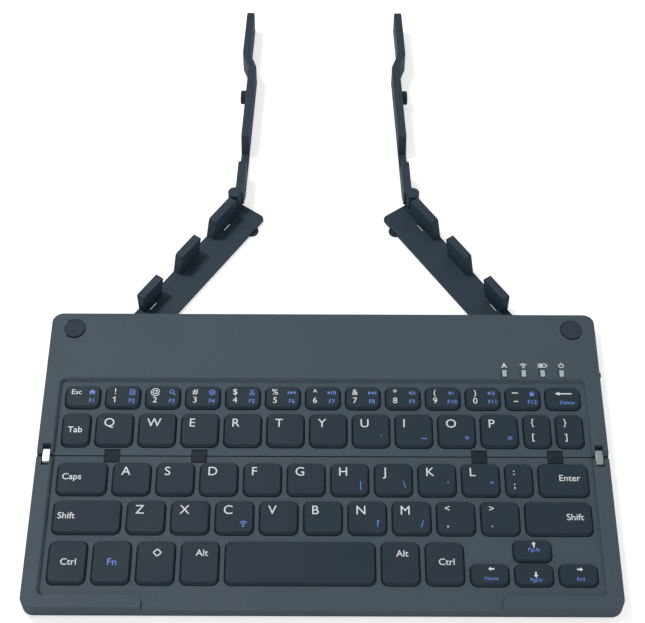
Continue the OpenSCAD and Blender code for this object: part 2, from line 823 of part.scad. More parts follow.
module key_escape() { key_caps([number_row[0]]); }
module number_keys() { key_caps(picked(number_row, 1, 11)); }
module key_backspace() { key_caps([number_row[12]]); }
module key_tab() { key_caps([upper_row[0]]); }
module upper_letter_keys() { key_caps(picked(upper_row, 1, 12)); }
module key_caps_lock() { key_caps([home_row[0]]); }
module home_letter_keys() { key_caps(picked(home_row, 1, 10)); }
module key_enter() { key_caps([home_row[11]]); }
module key_shift_left() { key_caps([lower_row[0]]); }
module lower_letter_keys() { key_caps(picked(lower_row, 1, 9)); }
module key_shift_right() { key_caps([lower_row[10]]); }
module key_control_left() { key_caps([bottom_row[0]]); }
module key_function() { key_caps([bottom_row[1]]); }
module modifier_keys() { key_caps([bottom_row[2], bottom_row[3], bottom_row[5], bottom_row[6]]); }
module key_space() { key_caps([bottom_row[4]]); }
module key_left() { key_caps([arrow_left]); }
module key_up() { key_caps([arrow_up]); }
module key_down() { key_caps([arrow_down]); }
module key_right() { key_caps([arrow_right]); }

// Moves a part drawn along the left arm to its place; side 1 mirrors it
module on_arm(side) {
    in_frame() mirror([side > 0 ? 1 : 0, 0, 0])
        translate([-pivot_x, pivot_y, 0]) rotate([0, 0, arm_angle]) children();
}

// Moves a part drawn along the left leg to its place on the arm
module on_leg(side) {
    on_arm(side) translate([leg_pivot_u, leg_pivot_v, 0]) rotate([0, 0, leg_open]) children();
}

// The toothed wall seen from its side: u across, height up
module rail_profile() {
    e = slot_ends;
    lean = slot_lean;
    end_u = leg_pivot_u - knuckle_r - leg_clear;
    polygon([
        [rail_start_u, arm_z], [rail_start_u, stand_h],
        [e[0], stand_h], [e[0] - lean, slot_floor_z],
        [e[1], slot_floor_z], [e[1] + lean, stand_h],
        [e[2], stand_h], [e[2] - lean, slot_floor_z],
        [e[3], slot_floor_z], [e[3] + lean, stand_h],
        [end_u, stand_h], [end_u, knuckle_z], [leg_pivot_u, knuckle_z], [leg_pivot_u, arm_z]
    ]);
}

// Arm: plate, toothed wall, and a knuckle that carries the leg
module arm() {
    corner = 2.5;
    low_v = rail_in_v - plate_w;
    difference() {
        union() {
            plate(0, low_v, arm_len, rail_out_v, arm_z, plate_z, corner);
            translate([0, 0, arm_z]) cylinder(r = rail_out_v, h = plate_t);
            box([0, 0, arm_z], [rail_start_u, rail_out_v, plate_z]);
            translate([0, rail_out_v, 0]) rotate([90, 0, 0]) linear_extrude(rail_t) rail_profile();
            translate([leg_pivot_u, leg_pivot_v, arm_z]) cylinder(r = knuckle_r, h = knuckle_h);
        }
        // space for the leg's barrel
        translate([leg_pivot_u, leg_pivot_v, knuckle_z])
            cylinder(r = knuckle_r + leg_clear, h = stand_h);
        // blind seat for the leg's button when the stand is put away
        translate([leg_pivot_u - button_u, rail_out_v + leg_clear - button_h - button_clear, button_z])
            rotate([-90, 0, 0]) cylinder(r = button_r + button_clear, h = button_h + 1);
        translate([leg_pivot_u, leg_pivot_v, -1]) cylinder(r = leg_pin_r + pin_clear, h = stand_h + 2);
        translate([0, 0, -1]) cylinder(r = arm_pin_r + pin_clear, h = 10);
        // two slits beside the wall and a small dimple
        for (u = [9.7, arm_len - 17.8]) {
            box([u, rail_in_v - 0.9, -1], [u + 5.2, rail_in_v, plate_z + 1]);
        }
        translate([arm_len - 12, rail_in_v - 6.8, plate_z - 0.3]) cylinder(r = 0.9, h = 1, $fn = 24);
        // the foot's peg
        translate([arm_foot_uv[0], arm_foot_uv[1] + 1.5, -1]) cylinder(r = 1.05, h = 2.6);
    }
}

module arm_pin() {
    translate([0, 0, arm_z - 0.6]) cylinder(r = 2.4, h = 0.5);
    translate([0, 0, arm_z - 0.6]) cylinder(r = arm_pin_r, h = split_z - 0.1 - arm_z + 0.6);
}

// Rubber foot under the far end of an arm, held by a peg
module arm_foot() {
    translate([arm_foot_uv[0], arm_foot_uv[1], 0]) cylinder(r = arm_foot_r, h = arm_z - 0.02);
    translate([arm_foot_uv[0], arm_foot_uv[1] + 1.5, 0.2]) cylinder(r = 1, h = 1.3);
}

// The leg seen from its side: distance from its pivot across, height up
module leg_profile(from, to) {
    intersection() {
        polygon([
            [leg_root_u, leg_root_z], [leg_root_u, stand_h],
            [leg_slot[0], stand_h], [leg_slot[0], leg_slot_floor_z],
            [leg_slot[1], leg_slot_floor_z], [leg_slot[1] + slot_lean, stand_h],
            [leg_len, stand_h], [leg_len, leg_z],
            [leg_root_u + 3, leg_z], [leg_root_u + 3, leg_root_z]
        ]);
        translate([from, 0]) square([to - from, stand_h]);
    }
}

// Leg: straight blade with a tablet slot, a sideways step and a straight end
module leg() {
    side = -leg_offset - leg_t / 2;
    difference() {
        union() {
            translate([0, side + leg_t, 0]) rotate([90, 0, 0]) linear_extrude(leg_t)
                leg_profile(0, step_start_u + eps);
            translate([0, 0, leg_z]) linear_extrude(stand_h - leg_z) polygon([
                [step_start_u, side], [step_end_u, side + leg_step],
                [leg_len, side + leg_step], [leg_len, side + leg_step + leg_t],
                [step_end_u, side + leg_step + leg_t], [step_start_u, side + leg_t]
            ]);
            // barrel that turns on the arm's knuckle
            translate([0, 0, knuckle_z + knuckle_gap])
                cylinder(r = knuckle_r, h = stand_h - knuckle_z - knuckle_gap);
            box([0, side, knuckle_z + knuckle_gap], [leg_root_u + 1, side + leg_t, stand_h]);
        }
        translate([0, 0, -1]) cylinder(r = leg_pin_r + pin_clear, h = stand_h - leg_pin_top + 1 + pin_clear);
        // seat of the button's stem
        translate([button_u, side - 1, button_z]) rotate([-90, 0, 0]) cylinder(r = 1.55, h = leg_t + 2);
    }
}

module leg_pin() {
    translate([0, 0, arm_z]) cylinder(r = leg_pin_r, h = stand_h - leg_pin_top - arm_z);
}

// Button on the leg's outer face, with a stem through the leg
module leg_button() {
    face = -leg_offset + leg_t / 2;
    translate([button_u, face - leg_t + 0.2, button_z]) rotate([-90, 0, 0])
        cylinder(r = 1.5, h = leg_t);
    translate([button_u, face + 0.02, button_z]) rotate([-90, 0, 0])
        cylinder(r = button_r, h = button_h);
}

module left_arm() { color(key_colour) on_arm(-1) arm(); }
module left_arm_pin() { color(steel_colour) on_arm(-1) arm_pin(); }
module left_arm_foot() { color(rubber_colour) on_arm(-1) arm_foot(); }
module left_leg() { color(key_colour) on_leg(-1) leg(); }
module left_leg_pin() { color(steel_colour) on_leg(-1) leg_pin(); }
module left_leg_button() { color(rubber_colour) on_leg(-1) leg_button(); }
module right_arm() { color(key_colour) on_arm(1) arm(); }
module right_arm_pin() { color(steel_colour) on_arm(1) arm_pin(); }
module right_arm_foot() { color(rubber_colour) on_arm(1) arm_foot(); }
module right_leg() { color(key_colour) on_leg(1) leg(); }
module right_leg_pin() { color(steel_colour) on_leg(1) leg_pin(); }
module right_leg_button() { color(rubber_colour) on_leg(1) leg_button(); }

upper_top_frame();
upper_bottom_cover();
upper_key_plate();
upper_membrane();
upper_domes();
upper_scissors();
circuit_board();
battery();
light_windows();
indicator_lamps();
corner_pads();
switch_body();
charge_socket();
upper_screws();
upper_feet();
upper_hinge_pins();
switch_slider();
hinge_end_links();
hinge_link_blocks();
lower_top_frame();
lower_bottom_cover();
lower_key_plate();
lower_membrane();
lower_domes();
lower_scissors();
lower_screws();
lower_feet();
lower_hinge_pins();
key_escape();
number_keys();
key_backspace();
key_tab();
upper_letter_keys();
key_caps_lock();
home_letter_keys();
key_enter();
key_shift_left();
lower_letter_keys();
key_shift_right();
key_control_left();
key_function();
modifier_keys();
key_space();
key_left();
key_up();
key_down();
key_right();
left_arm();
left_arm_pin();
left_arm_foot();
left_leg();
left_leg_pin();
left_leg_button();
right_arm();
right_arm_pin();
right_arm_foot();
right_leg();
right_leg_pin();
right_leg_button();
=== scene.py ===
import math

import bmesh
import bpy
from mathutils import Matrix, Vector


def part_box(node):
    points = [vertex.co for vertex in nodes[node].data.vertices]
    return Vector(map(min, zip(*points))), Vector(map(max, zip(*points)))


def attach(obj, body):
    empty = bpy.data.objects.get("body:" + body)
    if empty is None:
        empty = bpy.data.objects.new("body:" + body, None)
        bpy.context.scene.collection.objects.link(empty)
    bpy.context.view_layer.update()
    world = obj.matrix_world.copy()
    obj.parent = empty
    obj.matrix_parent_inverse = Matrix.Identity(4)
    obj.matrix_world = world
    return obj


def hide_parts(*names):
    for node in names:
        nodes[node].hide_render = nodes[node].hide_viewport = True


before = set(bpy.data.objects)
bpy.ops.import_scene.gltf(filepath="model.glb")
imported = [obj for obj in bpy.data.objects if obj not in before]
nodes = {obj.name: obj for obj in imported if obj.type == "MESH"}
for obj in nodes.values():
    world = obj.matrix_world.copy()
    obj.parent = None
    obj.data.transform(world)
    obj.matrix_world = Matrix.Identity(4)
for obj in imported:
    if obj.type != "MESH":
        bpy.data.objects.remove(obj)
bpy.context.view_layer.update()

MM = 0.001
scene = bpy.context.scene

# ---------------------------------------------------------------- measures
# The case's own lines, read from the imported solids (metres)
BACK_LOW, BACK_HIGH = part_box("upper_top_frame")
FRONT_LOW, FRONT_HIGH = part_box("lower_top_frame")
HALF_W = BACK_HIGH.x
SEAM_Y = (BACK_LOW.y + FRONT_HIGH.y) / 2
RIM_Z = BACK_HIGH.z
SPLIT_Z = BACK_LOW.z
DECK_Z = RIM_Z - 1.6 * MM
CORNER_R = 5 * MM
LIP_Y = FRONT_LOW.y + 6.2 * MM
FIELD_X = HALF_W - 7.3 * MM
ARM_ANGLE = math.radians(55)

# Rounds and slopes of the case
RIM_ROUND = 0.35 * MM
WALL_CUT = 0.9 * MM
WALL_FILL = 0.68 * MM
INNER_ROUND = 0.15 * MM
DECK_ROUND = 0.22 * MM
SPLIT_ROUND = 0.15 * MM
COVER_ROUND = 0.6 * MM

# Key caps: the slope's height and width, its lean at the front and the rear, the hollow
KEY_CORNER = 3 * MM
KEY_RISE = 1.15 * MM
KEY_SLOPE = 0.65 * MM
KEY_LEAN_FRONT = 0.3 * MM
KEY_LEAN_REAR = 0.2 * MM
KEY_EDGE = 0.25 * MM
KEY_WALL = 1.1 * MM
KEY_ROOF = 1.1 * MM
PLUNGER_R = 1.0 * MM
PLUNGER_DROP = 0.05 * MM

# Rounds of the stand
TOOTH_ROUND = 0.9 * MM
ARM_EDGE = 0.08 * MM
LEG_BEND = 0.9 * MM
LEG_INNER_BEND = 0.5 * MM
LEG_EDGE = 0.18 * MM

# Print: the ink's thickness, and heights of capitals in mm
INK = 0.02 * MM
LETTER = 4.1
WORD = 2.9
MARK = 3.0
FUNCTION_WORD = 2.0
ARROW_WORD = 1.6


# ---------------------------------------------------------------- materials
def linear(text):
    """An sRGB hex colour as the linear colour that the shaders take."""
    parts = [int(text[i:i + 2], 16) / 255 for i in (1, 3, 5)]
    return tuple(
        p / 12.92 if p <= 0.04045 else ((p + 0.055) / 1.055) ** 2.4 for p in parts
    ) + (1.0,)


def add(tree, kind, sockets=None, links=None, **settings):
    """One shader node with its settings, its socket values and what feeds it."""
    made = tree.nodes.new(kind)
    for name, value in settings.items():
        setattr(made, name, value)
    for name, value in (sockets or {}).items():
        made.inputs[name].default_value = value
    for name, source in (links or {}).items():
        tree.links.new(source, made.inputs[name])
    return made


def surface(name, colour, roughness, grain_mm, grain_depth_mm, fleck=0.06, spread=0.06,
            metallic=0.0, ior=1.5, sheen=0.0, coat=0.0, stretch=(1, 1, 1), tint=None):
    """A finish with its own colour, a moulded or ground grain and a slow drift of gloss."""
    mat = bpy.data.materials.new(name)
    mat.use_nodes = True
    tree = mat.node_tree
    shader = tree.nodes["Principled BSDF"]
    place = add(tree, "ShaderNodeTexCoord")
    turn = add(tree, "ShaderNodeMapping", {"Scale": stretch}, {"Vector": place.outputs["Object"]})
    grain = add(tree, "ShaderNodeTexNoise",
                {"Scale": 1 / (grain_mm * MM), "Detail": 3.0, "Roughness": 0.6},
                {"Vector": turn.outputs["Vector"]})
    drift = add(tree, "ShaderNodeTexNoise", {"Scale": 1 / (38 * MM), "Detail": 2.0},
                {"Vector": place.outputs["Object"]})
    base = linear(colour)
    light = tuple(min(1.0, c * (1 + fleck)) for c in base[:3]) + (1.0,)
    dark = tuple(c * (1 - fleck) for c in base[:3]) + (1.0,)
    ramp = add(tree, "ShaderNodeValToRGB", links={"Fac": grain.outputs["Fac"]})
    ramp.color_ramp.elements[0].position = 0.35
    ramp.color_ramp.elements[0].color = dark
    ramp.color_ramp.elements[1].position = 0.65
    ramp.color_ramp.elements[1].color = light
    cast = add(tree, "ShaderNodeMix", {"B": linear(tint or colour)},
               {"A": ramp.outputs["Color"]}, data_type="RGBA")
    amount = add(tree, "ShaderNodeMapRange",
                 {"From Min": 0.35, "From Max": 0.65, "To Min": 0.0, "To Max": 0.25},
                 {"Value": drift.outputs["Fac"]})
    tree.links.new(amount.outputs["Result"], cast.inputs["Factor"])
    tree.links.new(cast.outputs["Result"], shader.inputs["Base Color"])
    gloss = add(tree, "ShaderNodeMapRange",
                {"From Min": 0.3, "From Max": 0.7,
                 "To Min": roughness - spread, "To Max": roughness + spread},
                {"Value": drift.outputs["Fac"]})
    tree.links.new(gloss.outputs["Result"], shader.inputs["Roughness"])
    bump = add(tree, "ShaderNodeBump", {"Strength": 1.0, "Distance": grain_depth_mm * MM},
               {"Height": grain.outputs["Fac"]})
    tree.links.new(bump.outputs["Normal"], shader.inputs["Normal"])
    shader.inputs["Metallic"].default_value = metallic
    if not metallic:
        shader.inputs["IOR"].default_value = ior
    shader.inputs["Sheen Weight"].default_value = sheen
    shader.inputs["Coat Weight"].default_value = coat
    mat.diffuse_color = base
    return mat


# ABS moulded in a spark-eroded tool: slate grey, an even matt grain. The real grain
# is about 0.1 mm, too fine to show, so it is drawn at 0.5 mm and kept shallow.
CASE = surface("moulded ABS, slate grey", "#44525d", 0.65, 0.5, 0.03, 0.08, 0.05,
               ior=1.45, tint="#4a5863")
# The same ABS polished a little by the fingers: key caps, dark blue-grey, satin.
KEYS = surface("moulded ABS keys, blue-black satin", "#1f303d", 0.62, 0.4, 0.008, 0.06, 0.05,
               ior=1.4, tint="#243642")
# Glass-filled nylon, stiff and slightly streaky: the stand's arms and legs.
NYLON = surface("glass-filled nylon, blue-black", "#293a48", 0.55, 0.7, 0.016, 0.08, 0.06,
                ior=1.4, tint="#2e404f", stretch=(1, 1, 0.4))
# Acetal of the small link blocks and the switch: near black and smooth.
ACETAL = surface("acetal, black", "#16242e", 0.6, 0.5, 0.006, 0.05, 0.05, ior=1.35)
# Stamped and tumbled steel: fine scratches along the part.
STEEL = surface("tumbled steel", "#c3cace", 0.3, 0.35, 0.004, 0.05, 0.07, metallic=1.0,
                stretch=(6, 1, 1))
# Silicone rubber, dull, with a little dust in its grain.
RUBBER = surface("silicone rubber, black", "#202429", 0.8, 0.6, 0.02, 0.12, 0.05, sheen=0.15,
                 tint="#2a2f34")
# Elastomer discs that the closing halves rest on: slate, with no shine.
PAD = surface("elastomer, slate", "#2f3c47", 0.75, 0.6, 0.015, 0.06, 0.05, ior=1.4,
              tint="#33404b")
# Pad-printed inks: flat, thin, a little uneven.
WHITE_INK = surface("pad-printed ink, white", "#f1f3f5", 0.5, 0.3, 0.002, 0.02, 0.04)
BLUE_INK = surface("pad-printed ink, blue", "#6f90ee", 0.5, 0.3, 0.002, 0.03, 0.04)
# Frosted polycarbonate light guides: pale and softly lit from inside.
GUIDE = surface("frosted polycarbonate", "#b9c6cc", 0.35, 0.3, 0.003, 0.03, 0.04, ior=1.58)
# Glass-fibre board under green solder mask.
BOARD = surface("solder mask on fibreglass", "#2c6b4a", 0.35, 0.6, 0.01, 0.08, 0.05, coat=0.3)
# Cold-rolled sheet under the keys.
SHEET = surface("cold-rolled sheet steel", "#9aa0a4", 0.35, 0.5, 0.004, 0.05, 0.06, metallic=1.0,
                stretch=(8, 1, 1))
# Printed polyester film, painted black as the shade at the floor of the key wells, the only place
# where it is seen.
FILM_PAINTED_WELL_SHADE = surface("polyester film, painted black as well shade", "#15191c", 0.4, 0.8, 0.003, 0.04, 0.05)
# Natural nylon and silicone under the keys.
NATURAL = surface("natural nylon", "#e2e2dc", 0.5, 0.5, 0.006, 0.03, 0.05)
# Aluminium-laminate pouch of the battery.
POUCH = surface("aluminium-laminate foil", "#c8ccd0", 0.35, 1.2, 0.03, 0.03, 0.06, metallic=0.8)


# ---------------------------------------------------------------- mesh helpers
def piece(name, bm, body, material, stands_for=(), crease=32):
    """Turns a bmesh into a finished piece that rides on a body."""
    mesh = bpy.data.meshes.new(name)
    bm.to_mesh(mesh)
    bm.free()
    mesh.materials.append(material)
    mesh.shade_smooth()
    mesh.set_sharp_from_angle(angle=math.radians(crease))
    made = bpy.data.objects.new(name, mesh)
    scene.collection.objects.link(made)
    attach(made, body)
    even = made.modifiers.new("even shading", "WEIGHTED_NORMAL")
    even.keep_sharp = True
    if stands_for:
        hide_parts(*stands_for)
    return made


def welded(node, whole=True):
    """A copy of a CAD node's surface, its triangles joined and, if whole, its flat faces too."""
    bm = bmesh.new()
    bm.from_mesh(nodes[node].data)
    bmesh.ops.remove_doubles(bm, verts=bm.verts, dist=0.001 * MM)
    if whole:
        bmesh.ops.dissolve_limit(bm, angle_limit=math.radians(0.4), verts=bm.verts,
                                 edges=bm.edges, use_dissolve_boundaries=False)
    return bm


def ease(bm, width, wanted=None, segments=2, angle=28, inward=False, clamped=False):
    """Rounds the outward edges that wanted() picks, or fills the inward ones."""
    picked = []
    for edge in bm.edges:
        if len(edge.link_faces) != 2:
            continue
        turn = edge.calc_face_angle_signed() * (-1 if inward else 1)
        if turn < math.radians(angle):
            continue
        if wanted is None or wanted(edge.verts[0].co, edge.verts[1].co):
            picked.append(edge)
    if picked:
        bmesh.ops.bevel(bm, geom=picked, offset=width, offset_type="OFFSET", affect="EDGES",
                        segments=segments, profile=0.5, material=-1,
                        clamp_overlap=clamped)


def at_height(z, reach=0.02 * MM):
    return lambda a, b: abs(a.z - z) < reach and abs(b.z - z) < reach


def eased_node(node, body, material, width, whole=True, **kind):
    """A CAD node given the small rounds that a moulded or stamped part has."""
    bm = welded(node, whole)
    ease(bm, width, **kind)
    return piece(node + "_finished", bm, body, material, (node,))


def islands(node):
    """The boxes of a node's separate solids, rear row first, then left to right."""
    bm = bmesh.new()
    bm.from_mesh(nodes[node].data)
    bmesh.ops.remove_doubles(bm, verts=bm.verts, dist=0.001 * MM)
    left = set(bm.verts)
    boxes = []
    while left:
        heap = [left.pop()]
        group = []
        while heap:
            vert = heap.pop()
            group.append(vert.co.copy())
            for edge in vert.link_edges:
                other = edge.other_vert(vert)
                if other in left:
                    left.remove(other)
                    heap.append(other)
        low = Vector(min(c[i] for c in group) for i in range(3))
        high = Vector(max(c[i] for c in group) for i in range(3))
        boxes.append((low, high))
    bm.free()
    return sorted(boxes, key=lambda b: (-round(b[0].y, 4), b[0].x))


# ---------------------------------------------------------------- camera and light
# Found by fitting the case's corners and the key rows to the photograph's frame.
PHOTO_W = 645
SENSOR_MM = 36
FOCAL_PX = 1617.4
TILT = math.radians(55.25)
YAW = math.radians(-0.04)
ROLL = math.radians(-0.172)
AIM = Vector((-0.34 * MM, SEAM_Y + 76.263 * MM, 9.0 * MM))
DISTANCE = 751.885 * MM

ahead = Vector((math.sin(YAW) * math.cos(TILT), math.cos(YAW) * math.cos(TILT), -math.sin(TILT)))
across = Vector((math.cos(YAW), -math.sin(YAW), 0))
upward = across.cross(ahead)
cam_x = across * math.cos(ROLL) - upward * math.sin(ROLL)
cam_y = across * math.sin(ROLL) + upward * math.cos(ROLL)
turned = Matrix((cam_x, cam_y, -ahead)).transposed().to_4x4()
lens = bpy.data.cameras.new("camera")
lens.sensor_width = SENSOR_MM
lens.sensor_fit = "HORIZONTAL"
lens.lens = FOCAL_PX * SENSOR_MM / PHOTO_W
lens.clip_start = 0.01
lens.clip_end = 20
camera = bpy.data.objects.new("camera", lens)
camera.matrix_world = Matrix.Translation(AIM - ahead * DISTANCE) @ turned
scene.collection.objects.link(camera)
scene.camera = camera
scene.view_settings.view_transform = "Standard"


# The world and the lamps together light a flat face to about its written colour
WORLD_STRENGTH = 0.45
KEY_WATTS = 5.7
FRONT_WATTS = 1.6
# What the floor adds for the camera, so that it shows white round the shadows
FLOOR_GLOW = 0.56
FLOOR_HALF = 6
FLOOR_DROP = 0.02 * MM


def softbox(name, place, size, watts):
    """A square studio light that looks at the keyboard."""
    lamp = bpy.data.lights.new(name, "AREA")
    lamp.shape = "SQUARE"
    lamp.size = size
    lamp.energy = watts
    made = bpy.data.objects.new(name, lamp)
    made.location = place
    made.rotation_euler = (Vector((0, 0, 0)) - Vector(place)).to_track_quat("-Z", "Y").to_euler()
    scene.collection.objects.link(made)


softbox("key softbox", (-0.46, 0.3, 1.1), 0.2, KEY_WATTS)
softbox("front softbox", (0.1, -1.3, 0.5), 0.7, FRONT_WATTS)

world = bpy.data.worlds.new("studio")
scene.world = world
world.use_nodes = True
sky = world.node_tree
sky.nodes.clear()
ray = add(sky, "ShaderNodeLightPath")
glow = add(sky, "ShaderNodeBackground", {"Color": linear("#ffffff"), "Strength": WORLD_STRENGTH})
plain = add(sky, "ShaderNodeBackground", {"Color": linear("#ffffff"), "Strength": 1.0})
pick = add(sky, "ShaderNodeMixShader", links={0: ray.outputs["Is Camera Ray"],
                                              1: glow.outputs[0], 2: plain.outputs[0]})
add(sky, "ShaderNodeOutputWorld", links={"Surface": pick.outputs[0]})

# Floor: a pale sheet that the camera sees as white, and that keeps the shadows
floor_bm = bmesh.new()
bmesh.ops.create_grid(floor_bm, x_segments=1, y_segments=1, size=FLOOR_HALF)
bmesh.ops.translate(floor_bm, verts=floor_bm.verts, vec=(0, 0, -FLOOR_DROP))
floor_mesh = bpy.data.meshes.new("floor")
floor_bm.to_mesh(floor_mesh)
floor_bm.free()
floor = bpy.data.objects.new("floor", floor_mesh)
scene.collection.objects.link(floor)
paper = bpy.data.materials.new("white backdrop paper")
paper.use_nodes = True
paper_tree = paper.node_tree
paper_shader = paper_tree.nodes["Principled BSDF"]
paper_shader.inputs["Base Color"].default_value = linear("#f2f2f2")
paper_shader.inputs["Roughness"].default_value = 0.9
paper_shader.inputs["Specular IOR Level"].default_value = 0.1
seen = add(paper_tree, "ShaderNodeLightPath")
shine = add(paper_tree, "ShaderNodeEmission", {"Color": linear("#ffffff")})
strength = add(paper_tree, "ShaderNodeMath", {1: FLOOR_GLOW}, {0: seen.outputs["Is Camera Ray"]},
               operation="MULTIPLY")
paper_tree.links.new(strength.outputs[0], shine.inputs["Strength"])
both = add(paper_tree, "ShaderNodeAddShader", links={0: paper_shader.outputs[0],
                                                     1: shine.outputs[0]})
paper_tree.links.new(both.outputs[0], paper_tree.nodes["Material Output"].inputs["Surface"])
floor_mesh.materials.append(paper)


# ---------------------------------------------------------------- case
def on_outline(point, far_y):
    """True where a point lies on the outer side walls of a half."""
    x = abs(point.x)
    y = abs(point.y - far_y)
    if x > HALF_W - CORNER_R and y < CORNER_R:
        return abs(math.hypot(x - HALF_W + CORNER_R, CORNER_R - y) - CORNER_R) < 0.05 * MM
    return HALF_W - x < 0.05 * MM or y < 0.05 * MM


def round_field(a, b):
    """True for an edge along the sides or the rear of the key field's wall."""
    if max(abs(a.x), abs(b.x)) > FIELD_X + 0.1 * MM or min(a.y, b.y) < LIP_Y - 0.05 * MM:
        return False
    if max(abs(a.y - SEAM_Y), abs(b.y - SEAM_Y)) < 4 * MM:
        return False
    return max(a.y, b.y) > LIP_Y + 0.05 * MM


def case_frame(node, body, far_y, clamped):
    """Top frame: rounded outer rim, sloped wall round the key field, eased wells."""
    bm = welded(node)
    rim = at_height(RIM_Z)
    deck = at_height(DECK_Z)

    def outer(a, b):
        return on_outline(a, far_y) and on_outline(b, far_y)

    def inner(a, b):
        return max(abs(a.x), abs(b.x)) < HALF_W - CORNER_R and not outer(a, b)

    ease(bm, RIM_ROUND, lambda a, b: rim(a, b) and outer(a, b), 3)
    # The wall round the key field leans back: its upper and lower edges are cut and filled
    ease(bm, WALL_CUT, lambda a, b: rim(a, b) and round_field(a, b), 1)
    ease(bm, WALL_FILL, lambda a, b: deck(a, b) and round_field(a, b), 1, inward=True)
    ease(bm, INNER_ROUND, lambda a, b: rim(a, b) and inner(a, b), 2)
    ease(bm, DECK_ROUND, deck, 2, clamped=clamped)
    ease(bm, SPLIT_ROUND, at_height(SPLIT_Z), 1)
    return piece(node + "_finished", bm, body, CASE, (node,))


case_frame("upper_top_frame", "back_half", BACK_HIGH.y, False)
case_frame("lower_top_frame", "front_half", FRONT_LOW.y, True)


def bottom_cover(node, body):
    """Bottom cover: a soft lower edge and a fine line where it meets the frame."""
    bm = welded(node)
    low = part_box(node)[0].z
    ease(bm, COVER_ROUND, at_height(low), 3)
    ease(bm, SPLIT_ROUND, at_height(SPLIT_Z), 1)
    return piece(node + "_finished", bm, body, CASE, (node,))


bottom_cover("upper_bottom_cover", "back_half")
bottom_cover("lower_bottom_cover", "front_half")


# ---------------------------------------------------------------- keys
def keycap(low, high):
    """One cap: round corners, walls that lean in, most at the front, and a hollow below."""
    bm = bmesh.new()
    high = Vector((high.x, high.y, high.z - KEY_RISE))
    size = high - low
    bmesh.ops.create_cube(bm, size=1)
    bmesh.ops.scale(bm, verts=bm.verts, vec=size)
    bmesh.ops.translate(bm, verts=bm.verts, vec=(low + high) / 2)
    upright = [e for e in bm.edges
               if abs(e.verts[0].co.z - e.verts[1].co.z) > size.z / 2]
    bmesh.ops.bevel(bm, geom=upright, offset=KEY_CORNER, offset_type="OFFSET", affect="EDGES",
                    segments=7, profile=0.5, material=-1, clamp_overlap=True)
    bm.normal_update()
    top = [f for f in bm.faces if f.normal.z > 0.9]
    bmesh.ops.inset_region(bm, faces=top, thickness=KEY_SLOPE, depth=0, use_even_offset=True)
    bmesh.ops.translate(bm, verts=top[0].verts[:], vec=(0, 0, KEY_RISE))
    middle = (low.y + high.y) / 2
    for near, shift in ((True, KEY_LEAN_FRONT), (False, KEY_LEAN_REAR)):
        bmesh.ops.translate(bm, verts=[v for v in top[0].verts if (v.co.y < middle) == near],
                            vec=(0, shift, 0))
    rim = top[0].edges[:]
    bmesh.ops.bevel(bm, geom=rim, offset=KEY_EDGE, offset_type="OFFSET", affect="EDGES",
                    segments=2, profile=0.5, material=-1, clamp_overlap=True)
    # Hollow from below, as moulded, so that a pressed cap passes round its dome and frame
    depth = high.z + KEY_RISE - KEY_ROOF - low.z
    bm.normal_update()
    under = [f for f in bm.faces if f.normal.z < -0.9]
    bmesh.ops.inset_region(bm, faces=under, thickness=KEY_WALL, depth=0, use_even_offset=True)
    raised = bmesh.ops.extrude_face_region(bm, geom=under, use_keep_orig=False)
    verts = [v for v in raised["geom"] if isinstance(v, bmesh.types.BMVert)]
    bmesh.ops.translate(bm, verts=verts, vec=(0, 0, depth))
    bmesh.ops.delete(bm, geom=[f for f in under if f.is_valid], context="FACES_ONLY")
    plunger = bmesh.ops.create_cone(bm, cap_ends=True, segments=16, radius1=PLUNGER_R,
                                    radius2=PLUNGER_R, depth=depth)
    bmesh.ops.translate(bm, verts=plunger["verts"],
                        vec=((low.x + high.x) / 2, middle, low.z + depth / 2 + PLUNGER_DROP))
    return bm


KEY_NODES = {
    "back_half": ["key_escape", "number_keys", "key_backspace", "key_tab", "upper_letter_keys"],
    "front_half": ["key_caps_lock", "home_letter_keys", "key_enter", "key_shift_left",
                   "lower_letter_keys", "key_shift_right", "key_control_left", "key_function",
                   "modifier_keys", "key_space", "key_left", "key_up", "key_down", "key_right"],
}
key_boxes = {n: islands(n) for group in KEY_NODES.values() for n in group}
for group in KEY_NODES.values():
    for node in group:
        caps = bmesh.new()
        for low, high in key_boxes[node]:
            cap = keycap(low, high)
            shell = bpy.data.meshes.new("cap")
            cap.to_mesh(shell)
            cap.free()
            caps.from_mesh(shell)
            bpy.data.meshes.remove(shell)
        piece(node + "_caps", caps, node + "_set", KEYS, (node,))

# ---------------------------------------------------------------- printed signs
pen = bpy.data.curves.new("pen", "FONT")
pen_object = bpy.data.objects.new("pen", pen)
scene.collection.objects.link(pen_object)


def written(text, bold):
    """Flat mesh of a word at size 1, its left edge and its baseline at the origin."""
    pen.body = text
    pen.size = 1
    pen.offset = bold
    pen.fill_mode = "FRONT"
    bpy.context.view_layer.update()
    graph = bpy.context.evaluated_depsgraph_get()
    return bpy.data.meshes.new_from_object(pen_object.evaluated_get(graph))


probe = written("H", 0)
CAP = max(v.co.y for v in probe.vertices)
bpy.data.meshes.remove(probe)


